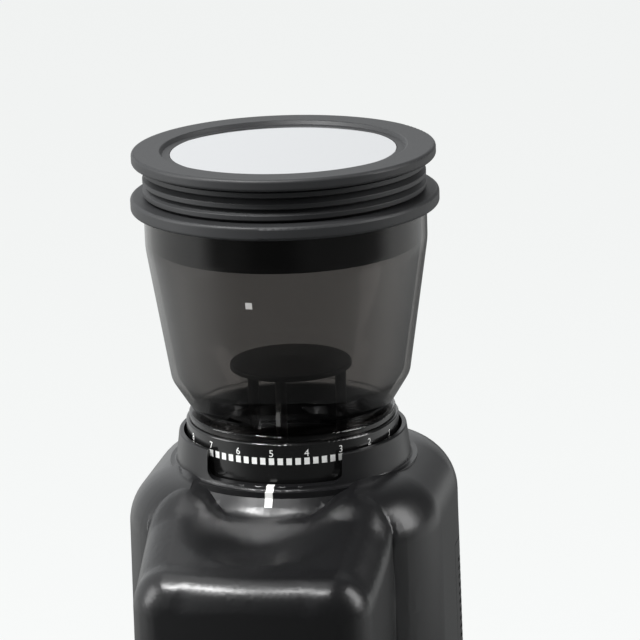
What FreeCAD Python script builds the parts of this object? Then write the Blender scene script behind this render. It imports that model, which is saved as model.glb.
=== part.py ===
"""Burr coffee grinder, built as separate pieces. Millimetres, Z up, front towards -Y.

The hopper axis is the Z axis and the feet stand on Z = 0.
"""
import FreeCAD
import Part
import math
import os
import re
import Sketcher

V = FreeCAD.Vector

# Driving sizes, one cell each
SIZES = {
    # heights of the stack
    "foot_height": 4.0, "base_height": 26.0, "tower_height": 220.0, "collar_height": 12.0,
    # housing
    "tower_half": 64.4, "tower_corner": 46.0, "draft_angle": 0.7, "shoulder_radius": 21.0, "wall": 2.5,
    "nose_half": 48.0, "nose_reach": 102.0, "nose_corner": 18.0, "nose_drop": 100.0, "nose_room_drop": 50.5,
    "nose_fall": 0.17, "nose_round": 13.0, "crest_peak": 14.7, "crest_round": 16.0, "crest_at": 32.0,
    "trough_half": 12.0, "trough_drop": 7.2, "trough_bend": 40.0,
    "dish_inner": 47.0, "flare_middle": 56.0, "flare_drop": 12.0, "flare_bend": 22.0, "flare_reach": 74.0,
    "flare_foot": 16.2, "brow_depth": 26.0, "brow_back": 30.0, "brow_gap": 1.0,
    "collar_top_radius": 45.0, "collar_foot_radius": 46.6, "collar_bore": 43.2, "collar_edge": 0.4,
    "ledge_bore": 40.2,
    "window_half": 26.5, "window_sill": 1.3, "window_corner": 3.5,
    "bay_half": 44.5, "bay_back": 24.0,
    "cover_front": 10.0, "cover_foot": 16.0, "cover_top": 40.0, "cover_gap": 0.3,
    "vent_height": 1.7, "vent_pitch": 3.6, "vent_front": 17.0, "vent_back": 40.0,
    "tab_half": 15.0, "tab_depth": 5.0, "tab_height": 16.0, "tab_lap": 8.0,
    "pointer_width": 3.0, "pointer_fit": 0.03, "pointer_length": 6.0, "pointer_depth": 5.6,
    "spout_fit": 0.3,
    # base
    "base_wall": 3.0, "plate_thick": 2.5, "plate_gap": 0.3,
    "foot_radius": 8.0, "foot_x": 38.0, "foot_back": 38.0, "foot_front": 82.0,
    "gland_radius": 6.0, "gland_out": 5.0, "gland_in": 6.0, "gland_bore": 3.5, "gland_fit": 0.02,
    "rail_height": 8.0, "rail_thick": 2.2,
    # screws
    "screw_radius": 1.5, "screw_head": 3.0, "screw_head_height": 2.0, "screw_fit": 0.2,
    # lid
    "lid_flange_radius": 60.0, "lid_flange_thick": 5.5, "skirt_gap": 0.5, "skirt_depth": 14.5,
    "skirt_wall": 2.5, "bellows_rise": 13.0, "bellows_peak": 55.0, "bellows_valley": 52.6,
    "bellows_wall": 1.6,
    "bellows_flat": 0.9, "cap_radius": 59.0, "cap_thick": 4.6, "cap_rim": 11.0, "cap_recess": 1.6,
    "mirror_radius": 44.0, "mirror_thick": 1.2, "mirror_fit": 0.1, "edge_round": 1.3,
    # hopper
    "hopper_radius": 55.0, "hopper_rim_height": 14.5, "hopper_taper_radius": 47.0,
    "hopper_taper_height": 53.0, "hopper_bend": 7.0, "hopper_throat": 38.3, "hopper_cone_height": 14.1,
    "hopper_wall": 2.4, "hopper_neck": 14.0, "hopper_foot_radius": 40.8, "hopper_foot_height": 2.6,
    "guard_radius": 24.0, "guard_thick": 2.0, "guard_height": 16.5, "guard_leg": 2.2, "guard_leg_at": 20.5,
    "lift_gap": 0.3,
    # scale ring and carrier
    "ring_radius": 42.0, "ring_above": 17.0, "ring_bore": 38.6, "ring_thread": 37.4, "ring_skirt": 39.8,
    "ring_skirt_depth": 14.0, "ring_step": 2.7, "seal_thick": 0.6, "ring_float": 0.3,
    "carrier_gap": 0.3, "carrier_top": 1.0, "carrier_flange": 11.0, "carrier_skirt": 29.7,
    "carrier_foot": 38.0, "burr_seat": 27.0, "burr_seat_fit": 0.05, "ring_burr_foot": 37.5,
    "ring_burr_height": 21.5, "ring_burr_inner": 19.8, "ring_burr_top_inner": 18.6, "tooth_depth": 0.8,
    # chamber
    "chamber_bore": 30.0, "chamber_wall": 3.0, "chamber_floor": 54.0, "chamber_floor_thick": 4.0,
    "chamber_step": 20.0, "chamber_cup_bore": 40.4, "chamber_cup_wall": 1.6, "chamber_eye": 6.0,
    "ear_at": 47.0, "ear_radius": 6.5, "ear_thick": 4.0, "post_radius": 4.5,
    "outlet_half": 9.0, "outlet_height": 11.0,
    # burr train
    "spindle_radius": 4.0, "spindle_fit": 0.02, "cone_base": 20.0, "cone_top": 9.0, "cone_foot": 44.0,
    "cone_height": 34.0, "burr_twist": 40.0, "burr_teeth": 14.0, "nut_radius": 6.0, "nut_height": 4.0,
    "sweeper_radius": 28.5, "sweeper_foot": 49.2, "sweeper_disc": 1.6, "sweeper_height": 4.2,
    "bearing_radius": 11.0, "bearing_height": 7.0, "bearing_groove": 0.6, "bearing_fit": 0.02,
    "gear_face": 10.0, "wheel_face": 8.0, "gear_low": 74.0, "wheel_low": 86.0,
    "main_teeth": 44.0, "idler_pinion_teeth": 12.0, "train_module": 1.0,
    "idler_wheel_teeth": 40.0, "motor_pinion_teeth": 12.0, "motor_module": 0.8, "backlash": 0.16,
    "idler_x": 20.0, "idler_pin_radius": 2.0, "running_fit": 0.05,
    # gearbox and motor
    "case_radius": 37.5, "case_x": 7.8, "case_y": 7.6, "case_wall": 2.5, "case_lid": 4.0, "case_foot": 88.0,
    "boss_radius": 14.5, "cover_thick": 4.0, "cover_boss": 8.0, "case_screw_at": 32.8,
    "motor_radius": 21.0, "motor_length": 69.0, "motor_pilot": 9.0, "motor_bore": 3.2,
    "motor_cap_radius": 18.0,
    "motor_cap_height": 10.0, "motor_shaft_radius": 2.5, "post_x": 14.0, "motor_post_radius": 3.0,
    # chute
    "chute_half": 12.0, "chute_wall": 2.0, "chute_flange": 4.0, "chute_flange_thick": 2.5,
    "spout_front": 82.0, "spout_back": 60.0, "spout_below": 2.0,
    # controls
    "board_x": 46.0, "board_thick": 1.6, "board_front": 18.0, "board_back": 30.0, "board_height": 100.0,
    "dial_y": -6.0, "dial_z": 95.0, "dial_radius": 16.0, "dial_thick": 11.0, "dial_gap": 0.5,
    "stem_radius": 3.0,
    "stem_fit": 0.3, "timer_radius": 9.0, "timer_length": 9.0, "dial_mark_width": 2.0, "dial_mark_depth": 0.6,
    "button_z": 17.0, "button_radius": 8.0, "button_out": 3.5, "button_in": 7.0, "button_collar": 10.0,
    "button_collar_thick": 1.6, "button_fit": 0.3, "button_travel_gap": 2.6,
    "switch_half": 8.0, "switch_depth": 11.0, "switch_stem": 2.0, "switch_stem_length": 1.5,
    # grounds bin
    "bin_gap": 1.5, "bin_height": 113.0, "bin_wall": 2.0, "bin_corner": 14.0, "bin_front_inset": 3.0,
    "bin_back_gap": 1.0, "bin_pull_half": 15.0, "bin_pull_out": 4.0, "bin_pull_z": 90.0,
    "bin_pull_height": 5.0,
}

# Heights worked out from the driving sizes
FLOOR = "(foot_height + base_height)"
TOP = f"({FLOOR} + tower_height)"
RIM = f"({TOP} + collar_height)"
SEAT = f"({TOP} + seal_thick + ring_float)"
RING_TOP = f"({TOP} + ring_above)"
BOWL = f"({RING_TOP} + lift_gap)"
CONE_FOOT = f"({BOWL} + hopper_foot_height)"
CONE_TOP = f"({CONE_FOOT} + hopper_cone_height)"
TAPER_TOP = f"({CONE_TOP} + hopper_taper_height)"
BOWL_TOP = f"({TAPER_TOP} + hopper_rim_height)"
LID = f"({BOWL_TOP} + lid_flange_thick)"
CAP = f"({LID} + bellows_rise)"
CHAMBER = f"({TOP} - chamber_floor)"
CHAMBER_FLOOR = f"({CHAMBER} + chamber_floor_thick)"
CHAMBER_STEP = f"({TOP} - chamber_step)"
CASE = f"({TOP} - case_foot)"
COVER = f"({CASE} - cover_thick)"
COVER_BOSS = f"({COVER} - cover_boss)"
MOTOR_TOP = f"({COVER_BOSS} - running_fit * 10)"
MOTOR_FOOT = f"({MOTOR_TOP} - motor_length)"
NOSE_FOOT = f"({TOP} - nose_drop)"
CEILING = f"({TOP} - wall)"
TRAIN_CENTRES = "(train_module * (main_teeth + idler_pinion_teeth) / 2)"
MOTOR_CENTRES = "(motor_module * (idler_wheel_teeth + motor_pinion_teeth) / 2)"
IDLER_Y = f"sqrt({TRAIN_CENTRES}^2 - idler_x^2)"
MOTOR_Y = f"({IDLER_Y} + sqrt({MOTOR_CENTRES}^2 - idler_x^2))"

doc = FreeCAD.newDocument("BurrGrinder")
sheet = doc.addObject("Spreadsheet::Sheet", "Sizes")
for row, (alias, value) in enumerate(SIZES.items(), 1):
    sheet.set(f"A{row}", alias)
    sheet.set(f"B{row}", str(value))
    sheet.setAlias(f"B{row}", alias)
doc.recompute()

NODES = {}


def bind(expression):
    """The expression with every size name pointed at its cell."""
    return re.sub(r"[A-Za-z_]\w*", lambda m: "Sizes." + m[0] if m[0] in SIZES else m[0], str(expression))


def size(expression):
    """The number an expression stands for."""
    return float(sheet.evalExpression(bind(expression)))


def keep(node, thing):
    """Mark an object as one finished piece."""
    thing.Label = node
    NODES[node] = thing
    return thing


def place(thing, x="0", y="0", z="0"):
    for axis, expression in zip("xyz", (x, y, z)):
        if expression != "0":
            thing.setExpression(f"Placement.Base.{axis}", bind(expression))


# Sketches and features
def rounded_corner(before, here, after, radius):
    """Both ends and the centre of the arc that rounds one corner."""
    back = (before - here).normalize()
    ahead = (after - here).normalize()
    half = back.getAngle(ahead) / 2
    reach = radius / math.tan(half)
    centre = here + (back + ahead).normalize() * (radius / math.sin(half))
    return here + back * reach, here + ahead * reach, centre


def outline(body, name, role, points, lift="0"):
    """Closed sketch whose corners sit on bound coordinates; a third value rounds the corner."""
    sketch = body.newObject("Sketcher::SketchObject", name)
    plane = next(f for f in body.Origin.OriginFeatures if f.Role == role)
    sketch.AttachmentSupport = [(plane, "")]
    sketch.MapMode = "FlatFace"
    if lift != "0":
        sketch.setExpression("AttachmentOffset.Base.z", bind(lift))
    spots = [V(size(p[0]), size(p[1]), 0) for p in points]
    count = len(points)
    ends = []
    for i, point in enumerate(points):
        if len(point) > 2:
            ends.append(rounded_corner(spots[i - 1], spots[i], spots[(i + 1) % count], size(point[2])))
        else:
            ends.append((spots[i], spots[i], None))
    for i in range(count):
        sketch.addGeometry(Part.LineSegment(ends[i][1], ends[(i + 1) % count][0]), False)

    def hold(expression, kind, shape, spot):
        if str(expression) == "0":
            axis = -2 if kind == "DistanceX" else -1
            sketch.addConstraint(Sketcher.Constraint("PointOnObject", shape, spot, axis))
            return
        index = sketch.addConstraint(Sketcher.Constraint(kind, -1, 1, shape, spot, size(expression)))
        sketch.setExpression(f"Constraints[{index}]", bind(expression))

    for i, point in enumerate(points):
        before = (i - 1) % count
        shape = i
        if len(point) > 2:
            first, last, centre = ends[i]
            angles = [math.atan2(e.y - centre.y, e.x - centre.x) for e in (first, last)]
            turns_left = (first - centre).cross(last - centre).z > 0
            if not turns_left:
                angles.reverse()
            circle = Part.Circle(centre, V(0, 0, 1), size(point[2]))
            arc = sketch.addGeometry(Part.ArcOfCircle(circle, *angles), False)
            start, end = (1, 2) if turns_left else (2, 1)
            sketch.addConstraint(Sketcher.Constraint("Tangent", before, 2, arc, start))
            sketch.addConstraint(Sketcher.Constraint("Tangent", i, 1, arc, end))
            index = sketch.addConstraint(Sketcher.Constraint("Radius", arc, size(point[2])))
            sketch.setExpression(f"Constraints[{index}]", bind(point[2]))
            shape = sketch.addGeometry(Part.Point(spots[i]), True)
            sketch.addConstraint(Sketcher.Constraint("PointOnObject", shape, 1, before))
            sketch.addConstraint(Sketcher.Constraint("PointOnObject", shape, 1, i))
        else:
            sketch.addConstraint(Sketcher.Constraint("Coincident", before, 2, i, 1))
        hold(point[0], "DistanceX", shape, 1)
        hold(point[1], "DistanceY", shape, 1)
    return sketch


def turned(name, points):
    """Solid of revolution about the Z axis from a section of radius and height."""
    body = doc.addObject("PartDesign::Body", name)
    sketch = outline(body, name + "_section", "XZ_Plane", points)
    turn = body.newObject("PartDesign::Revolution", name + "_turn")
    turn.Profile = sketch
    turn.ReferenceAxis = (sketch, ["V_Axis"])
    turn.Angle = 360
    doc.recompute()
    return body


def raised(name, role, points, start, length, taper=None, fall=None):
    """Prism from a sketch lifted along its plane's normal; it may taper, or fall as it goes forward."""
    body = doc.addObject("PartDesign::Body", name)
    sketch = outline(body, name + "_plan", role, points, start)
    pad = body.newObject("PartDesign::Pad", name + "_pad")
    pad.Profile = sketch
    pad.setExpression("Length", bind(length))
    if taper:
        pad.setExpression("TaperAngle", bind(taper))
    if fall:
        pad.UseCustomVector = True
        pad.AlongSketchNormal = True
        pad.Direction = V(0, -1, -size(fall))
        pad.setExpression("Direction.z", bind(f"-({fall})"))
    doc.recompute()
    return body


def rounded(body, radius, wanted):
    """Round the edges of a body that a test picks out."""
    base = body.Tip
    names = [f"Edge{i}" for i, edge in enumerate(base.Shape.Edges, 1) if wanted(edge)]
    fillet = body.newObject("PartDesign::Fillet", body.Name + "_round")
    fillet.Base = (base, names)
    fillet.setExpression("Radius", bind(radius))
    doc.recompute()
    return body


# Primitives and booleans
def box(name, x0, x1, y0, y1, z0, z1):
    thing = doc.addObject("Part::Box", name)
    for field, low, high in (("Length", x0, x1), ("Width", y0, y1), ("Height", z0, z1)):
        thing.setExpression(field, bind(f"({high}) - ({low})"))
    place(thing, x0, y0, z0)
    return thing


TURNS = {
    "X": FreeCAD.Rotation(V(0, 1, 0), 90),
    "Y": FreeCAD.Rotation(V(1, 0, 0), -90),
    "Z": FreeCAD.Rotation(),
}


def rod(name, radius, length, x="0", y="0", z="0", along="Z"):
    thing = doc.addObject("Part::Cylinder", name)
    thing.setExpression("Radius", bind(radius))
    thing.setExpression("Height", bind(length))
    thing.Placement.Rotation = TURNS[along]
    place(thing, x, y, z)
    return thing


def joined(name, *things):
    fuse = doc.addObject("Part::MultiFuse", name)
    fuse.Shapes = list(things)
    fuse.Refine = True
    doc.recompute()
    return fuse


def group(name, things):
    compound = doc.addObject("Part::Compound", name)
    compound.Links = things
    doc.recompute()
    return compound


def shared(name, *things):
    common = doc.addObject("Part::MultiCommon", name)
    common.Shapes = list(things)
    doc.recompute()
    return common


def less(name, base, *tools):
    for number, tool in enumerate(tools, 1):
        cut = doc.addObject("Part::Cut", f"{name}_cut{number}")
        cut.Base = base
        cut.Tool = tool
        base = cut
    doc.recompute()
    return base


def solid(name, shape):
    thing = doc.addObject("Part::Feature", name)
    thing.Shape = shape
    return thing


def screw_rods(name, spots, length, along="Z", inwards=1):
    """Headed screws standing on the spots; the head lies outside, the shank runs inwards."""
    rods = []
    for number, (x, y, z) in enumerate(spots, 1):
        start = {"X": x, "Y": y, "Z": z}
        shank = dict(start)
        head = dict(start)
        if inwards < 0:
            shank[along] = f"{start[along]} - {length}"
        else:
            head[along] = f"{start[along]} - screw_head_height"
        stem = rod(f"{name}_stem{number}", "screw_radius", length, shank["X"], shank["Y"], shank["Z"], along)
        top = rod(f"{name}_head{number}", "screw_head", "screw_head_height", head["X"], head["Y"],
                  head["Z"], along)
        rods.append(joined(f"{name}_one{number}", stem, top))
    return rods


def screw_bores(name, spots, length, along="Z", inwards=1):
    """Clearance holes for the same spots, long enough to break through behind the head."""
    bores = []
    for number, (x, y, z) in enumerate(spots, 1):
        start = {"X": x, "Y": y, "Z": z}
        if inwards < 0:
            start[along] = f"{start[along]} - {length} - 1"
        else:
            start[along] = f"{start[along]} - 1"
        bores.append(rod(f"{name}_bore{number}", "screw_radius + screw_fit", f"{length} + 2",
                         start["X"], start["Y"], start["Z"], along))
    return bores


def square(half, corner):
    return [(f"-({half})", f"-({half})", corner), (half, f"-({half})", corner),
            (half, half, corner), (f"-({half})", half, corner)]


# Housing: tower, scooped nose and collar as one moulding
def at_height(height):
    return lambda edge: all(abs(v.Point.z - size(height)) < 1e-4 for v in edge.Vertexes)


tower = raised("tower", "XY_Plane", square("tower_half", "tower_corner"), FLOOR, "tower_height",
               "-draft_angle")
rounded(tower, "shoulder_radius", at_height(TOP))
hollow = raised("hollow", "XY_Plane", square("tower_half - wall", "tower_corner - wall"), f"{FLOOR} - 1",
                "tower_height - wall + 1", "-draft_angle")
rounded(hollow, "shoulder_radius - wall", at_height(CEILING))


def nose_rim(edge):
    """True on the edges round the nose's front face, apart from the lowest one."""
    middle = edge.valueAt((edge.FirstParameter + edge.LastParameter) / 2)
    ends = [v.Point for v in edge.Vertexes]
    on_front = all(abs(p.y + size("nose_reach")) < 1e-4 for p in ends + [middle])
    return on_front and middle.z > size(NOSE_FOOT)


nose_bar = raised("nose_bar", "XZ_Plane", [
    ("-nose_half", f"{NOSE_FOOT} - 5"), ("nose_half", f"{NOSE_FOOT} - 5"),
    ("nose_half", f"{TOP} + crest_peak", "crest_round"),
    ("trough_half", f"{TOP} - trough_drop", "trough_bend"),
    ("-trough_half", f"{TOP} - trough_drop", "trough_bend"),
    ("-nose_half", f"{TOP} + crest_peak", "crest_round")],
    "bay_back", "nose_reach - bay_back", fall="nose_fall")
rounded(nose_bar, "nose_round", nose_rim)
nose_space = box("nose_space", "-nose_half - 1", "nose_half + 1", "-nose_reach - 1", "0", NOSE_FOOT, RIM)
nose = shared("nose", nose_bar, nose_space)
scoop = box("scoop", "-crest_at", "crest_at", "-tower_half - 5", "-brow_back", f"{TOP} - brow_depth",
            f"{TOP} + 1")
flare_turn = turned("flare_turn", [
    ("0", f"{TOP} - brow_depth"), ("flare_reach", f"{TOP} - brow_depth"),
    ("flare_reach", f"{TOP} - flare_foot"),
    ("flare_middle", f"{TOP} - flare_drop", "flare_bend"), ("dish_inner", TOP), ("0", TOP)])
flare_space = box("flare_space", "-crest_at - 2", "crest_at + 2", "-flare_reach - 1", "-brow_back + 1",
                  f"{TOP} - brow_depth + 0.5", f"{TOP} + 1")
flare = shared("flare", flare_turn, flare_space)
nose_hollow = raised("nose_hollow", "XY_Plane", [
    ("-nose_half + wall", "-nose_reach + wall", "nose_corner - wall"),
    ("nose_half - wall", "-nose_reach + wall", "nose_corner - wall"),
    ("nose_half - wall", "-bay_back + wall"), ("-nose_half + wall", "-bay_back + wall")],
    f"{NOSE_FOOT} + wall", "nose_drop - nose_room_drop - wall")
collar = turned("collar", [
    ("0", f"{TOP} - 4"), ("dish_inner + 2", f"{TOP} - 4"), ("dish_inner + 2", f"{TOP} - 0.3"),
    ("collar_foot_radius", f"{TOP} - 0.3", "1"), ("collar_top_radius", f"{RIM} - collar_edge"),
    ("collar_top_radius - collar_edge", RIM), ("0", RIM)])
skin = joined("skin", less("tower_front", tower, scoop), nose, flare, collar)

posts = []
ear_spots = []
for number, degrees in enumerate((90, 210, 330), 1):
    ear_x = f"ear_at * cos({degrees} deg)"
    ear_y = f"ear_at * sin({degrees} deg)"
    ear_spots.append((ear_x, ear_y))
    posts.append(rod(f"post{number}", "post_radius", f"{TOP} - wall / 2 - {CHAMBER_STEP}", ear_x, ear_y,
                     CHAMBER_STEP))
bay_room = box("bay_room", "-bay_half - wall", "bay_half + wall", "-nose_reach - 10", "-bay_back + wall",
               f"{FLOOR} - 2", f"{NOSE_FOOT} + wall")
bay = box("bay", "-bay_half", "bay_half", "-nose_reach - 10", "-bay_back", f"{FLOOR} - 2", NOSE_FOOT)
brow_block = box("brow_block", "-crest_at - 4", "crest_at + 4", "-tower_half - 5", "-brow_back",
                 f"{TOP} - brow_depth", TOP)
cup_room = rod("cup_room", "chamber_cup_bore + chamber_cup_wall + brow_gap", "brow_depth + 2",
               z=f"{TOP} - brow_depth - 1")
brow = less("brow", brow_block, cup_room)
room = less("room", hollow, bay_room, brow, *posts)
shell = less("shell", skin, room, nose_hollow, bay)

window = raised("window", "XZ_Plane", [
    ("-window_half", f"{TOP} + window_sill", "window_corner"),
    ("window_half", f"{TOP} + window_sill", "window_corner"),
    ("window_half", f"{RIM} + 5"), ("-window_half", f"{RIM} + 5")], "25", "40")
collar_bore = rod("collar_hole", "collar_bore", "collar_height + 1", z=TOP)
ledge_bore = rod("ledge_hole", "ledge_bore", "20", z=f"{TOP} - 10")
pointer_slot = box("pointer_slot", "-pointer_width / 2 - pointer_fit", "pointer_width / 2 + pointer_fit",
                   "-dish_inner - pointer_length", "-collar_bore - 0.5", f"{TOP} - pointer_depth",
                   f"{TOP} + window_sill + 2")
pointer_body = box("pointer_body", "-pointer_width / 2", "pointer_width / 2",
                   "-dish_inner - pointer_length + pointer_fit", "-collar_bore - 0.5 - pointer_fit",
                   f"{TOP} - pointer_depth + pointer_fit", f"{TOP} + window_sill")
keep("index_pointer", shared("pointer", skin, pointer_body))

cover_low = f"({FLOOR} + cover_foot)"
cover_high = f"({TOP} - cover_top)"
cover_hole = box("cover_hole", "-tower_half - 10", "tower_half + 10", "cover_front", "tower_half + 10",
                 cover_low, cover_high)
cover_cut = box("cover_cut", "-tower_half - 10", "tower_half + 10", "cover_front + cover_gap",
                "tower_half + 10",
                f"{cover_low} + cover_gap", f"{cover_high} - cover_gap")
inner_back = "(tower_half - wall - 3)"
tab_high = box("tab_high", "-tab_half", "tab_half", f"{inner_back} - tab_depth", inner_back,
               f"{cover_high} - tab_height", f"{cover_high} + tab_lap")
tab_low = box("tab_low", "-tab_half", "tab_half", f"{inner_back} + 2.3 - tab_depth", f"{inner_back} + 2.3",
              f"{cover_low} - tab_lap", f"{cover_low} + tab_height")
bridge_high = box("bridge_high", "-tab_half", "tab_half", f"{inner_back} - 1", "tower_half - 3",
                  f"{cover_high} + 1", f"{cover_high} + tab_lap")
bridge_low = box("bridge_low", "-tab_half", "tab_half", f"{inner_back} - 1", "tower_half - 1.5",
                 f"{cover_low} - tab_lap", f"{cover_low} - 1")
back_spots = [
    ("-tab_half / 2", "tower_half - 1.9", f"{cover_high} - 8"),
    ("tab_half / 2", "tower_half - 1.9", f"{cover_high} - 8"),
    ("-tab_half / 2", "tower_half - 0.1", f"{cover_low} + 8"),
    ("tab_half / 2", "tower_half - 0.1", f"{cover_low} + 8")]
back_bores = screw_bores("back_bores", back_spots, "12", "Y", -1)
stem_hole = rod("stem_hole", "stem_radius + stem_fit", "20", "tower_half - 15", "dial_y", "dial_z", "X")
spout_hole = box("spout_hole", "-chute_half - spout_fit", "chute_half + spout_fit",
                 "-spout_front - spout_fit",
                 "-spout_back + spout_fit", f"{NOSE_FOOT} - 2", f"{NOSE_FOOT} + wall + 1")
ear_low = f"({CHAMBER_STEP} - ear_thick)"
chamber_spots = [(x, y, ear_low) for x, y in ear_spots]
chamber_bores = screw_bores("chamber_bores", chamber_spots, "14")
opened = less("opened", shell, cover_hole, window, collar_bore, ledge_bore, pointer_slot, spout_hole,
              stem_hole)
braced = joined("braced", opened, tab_high, tab_low, bridge_high, bridge_low)
keep("main_housing", less("main_housing", braced, *back_bores, *chamber_bores))

# Rear cover: the back of the tower skin, slotted along both flanks
tower_shell = less("tower_shell", tower, hollow)
panel = shared("panel", tower_shell, cover_cut)
vents = []
for number in range(15):
    low = f"{cover_high} - 8 - {number} * vent_pitch"
    vents.append(box(f"vent{number + 1}", "-tower_half - 5", "tower_half + 5", "vent_front", "vent_back",
                     f"{low} - vent_height", low))
keep("rear_cover", less("rear_cover", panel, group("vent_slots", vents), *back_bores))
keep("rear_screws", group("rear_screws", screw_rods("rear_screw", back_spots, "9", "Y", -1)))

# Base: plinth, bottom plate, feet
plinth = raised("plinth_tower", "XY_Plane", square("tower_half", "tower_corner"), "foot_height",
                "base_height")
tongue = raised("plinth_tongue", "XY_Plane", [
    ("-nose_half", "-nose_reach", "nose_corner"), ("nose_half", "-nose_reach", "nose_corner"),
    ("nose_half", "0"), ("-nose_half", "0")], "foot_height", "base_height")


def underside(name, inset, start, length):
    wide = raised(name + "_tower", "XY_Plane", square(f"tower_half - {inset}", f"tower_corner - {inset}"),
                  start, length)
    long = raised(name + "_tongue", "XY_Plane", [
        (f"-(nose_half - {inset})", f"-(nose_reach - {inset})", f"nose_corner - {inset}"),
        (f"nose_half - {inset}", f"-(nose_reach - {inset})", f"nose_corner - {inset}"),
        (f"nose_half - {inset}", "0"), (f"-(nose_half - {inset})", "0")], start, length)
    return joined(name, wide, long)


base_room = underside("base_room", "base_wall", "foot_height - 1", "base_height - base_wall + 1")
rails = [
    box("rail_in", "board_x - rail_thick - 0.1", "board_x - 0.1", "-board_front", "board_back",
        f"{FLOOR} - 1",
        f"{FLOOR} + rail_height"),
    box("rail_out", "board_x + board_thick + 0.1", "board_x + board_thick + rail_thick + 0.1", "-board_front",
        "board_back", f"{FLOOR} - 1", f"{FLOOR} + rail_height")]
button_hole = rod("button_hole", "button_radius + button_fit", "20", y="-nose_reach - 5", z="button_z",
                  along="Y")
gland_hole = rod("gland_hole", "gland_radius + gland_fit", "20", y="tower_half - 12", z="button_z", along="Y")
pillar_spots = [("-foot_x", "foot_back - 16"), ("foot_x", "foot_back - 16"),
                ("-foot_x + 4", "-foot_front + 22"), ("foot_x - 4", "-foot_front + 22")]
pillars = [rod(f"pillar{n}", "post_radius", "base_height - plate_thick - 1", x, y,
               "foot_height + plate_thick")
           for n, (x, y) in enumerate(pillar_spots, 1)]
bottom_spots = [(x, y, "foot_height") for x, y in pillar_spots]
bottom_bores = screw_bores("bottom_bores", bottom_spots, "12")
base_skin = joined("base_skin", less("base_shell", joined("base_solid", plinth, tongue), base_room), *rails,
                   *pillars)
keep("base_plinth", less("base_plinth", base_skin, button_hole, gland_hole, *bottom_bores))

plate = underside("plate", "(base_wall + plate_gap)", "foot_height", "plate_thick")
foot_spots = [("0", "0"), ("-foot_x", "foot_back"), ("foot_x", "foot_back"), ("-foot_x + 4", "-foot_front"),
              ("foot_x - 4", "-foot_front")]
keep("bottom_plate", less("bottom_plate", plate, *bottom_bores))
keep("bottom_screws", group("bottom_screws", screw_rods("bottom_screw", bottom_spots, "10")))
feet = [rod(f"foot{n}", "foot_radius", "foot_height", x, y) for n, (x, y) in enumerate(foot_spots, 1)]
keep("rubber_feet", group("rubber_feet", feet))
gland_outer = rod("gland_outer", "gland_radius", "gland_out + gland_in", y="tower_half - gland_in",
                  z="button_z", along="Y")
gland_flange = rod("gland_flange", "gland_radius + 1.5", "gland_out - 1", y="tower_half", z="button_z",
                   along="Y")
gland_eye = rod("gland_eye", "gland_bore", "30", y="tower_half - 15", z="button_z", along="Y")
keep("cord_gland", less("cord_gland", joined("gland", gland_outer, gland_flange), gland_eye))

# Lid: flange with plug skirt, ribbed wall, cap and mirror
skirt_radius = "(hopper_radius - hopper_wall - skirt_gap)"
keep("lid_ring", turned("lid_ring", [
    (f"{skirt_radius} - skirt_wall", f"{BOWL_TOP} - skirt_depth"),
    (skirt_radius, f"{BOWL_TOP} - skirt_depth"),
    (skirt_radius, BOWL_TOP), ("lid_flange_radius", BOWL_TOP, "edge_round"),
    ("lid_flange_radius", LID, "edge_round"),
    (f"{skirt_radius} - skirt_wall", LID)]))
pitch = "(bellows_rise / 3)"
outside = []
inside = []
for number in range(3):
    low = f"{LID} + {number} * {pitch}"
    outside += [("bellows_valley", f"{low} + 0.35"),
                ("bellows_peak", f"{low} + {pitch} / 2 - bellows_flat", "0.35"),
                ("bellows_peak", f"{low} + {pitch} / 2 + bellows_flat", "0.35")]
    inside += [("bellows_valley - bellows_wall", f"{low} + 0.35"),
               ("bellows_peak - bellows_wall", f"{low} + {pitch} / 2")]
outside = [("bellows_valley", LID)] + outside[1:] + [("bellows_valley", CAP)]
inside = [("bellows_valley - bellows_wall", LID)] + inside[1:] + [("bellows_valley - bellows_wall", CAP)]
keep("lid_bellows", turned("lid_bellows", outside + inside[::-1]))
cap_top = f"({CAP} + cap_thick)"
pocket_floor = f"({cap_top} - cap_recess - mirror_thick)"
keep("lid_cap", turned("lid_cap", [
    ("0", CAP), ("cap_radius", CAP, "edge_round"), ("cap_radius", cap_top, "edge_round"),
    ("cap_radius - cap_rim", cap_top, "0.6"), ("cap_radius - cap_rim - 1", f"{cap_top} - cap_recess"),
    ("mirror_radius + mirror_fit", f"{cap_top} - cap_recess"), ("mirror_radius + mirror_fit", pocket_floor),
    ("0", pocket_floor)]))
keep("lid_mirror", turned("lid_mirror", [
    ("0", pocket_floor), ("mirror_radius", pocket_floor),
    ("mirror_radius", f"{pocket_floor} + mirror_thick", "0.3"),
    ("0", f"{pocket_floor} + mirror_thick")]))

# Hopper bowl with its neck, and the finger guard
neck_inner = "(hopper_throat - hopper_wall)"
keep("hopper_bowl", turned("hopper_bowl", [
    (neck_inner, f"{BOWL} - hopper_neck"), ("hopper_throat", f"{BOWL} - hopper_neck"),
    ("hopper_throat", BOWL),
    ("hopper_foot_radius", BOWL), ("hopper_foot_radius", CONE_FOOT, "0.8"), ("hopper_throat", CONE_FOOT),
    ("hopper_taper_radius", CONE_TOP, "hopper_bend"), ("hopper_radius", TAPER_TOP, "30"),
    ("hopper_radius", BOWL_TOP),
    ("hopper_radius - hopper_wall", BOWL_TOP), ("hopper_radius - hopper_wall", TAPER_TOP, "30"),
    ("hopper_taper_radius - hopper_wall", f"{CONE_TOP} + 1", "hopper_bend - hopper_wall"),
    (neck_inner, f"{CONE_FOOT} + 1")]))
guard_low = f"({CONE_FOOT} + guard_height)"
guard_disc = turned("guard_disc", [
    ("0", guard_low), ("guard_radius", guard_low), ("guard_radius", f"{guard_low} + guard_thick", "0.8"),
    ("0", f"{guard_low} + guard_thick + 2")])
ring_foot = f"({CONE_FOOT} - hopper_neck)"
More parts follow.
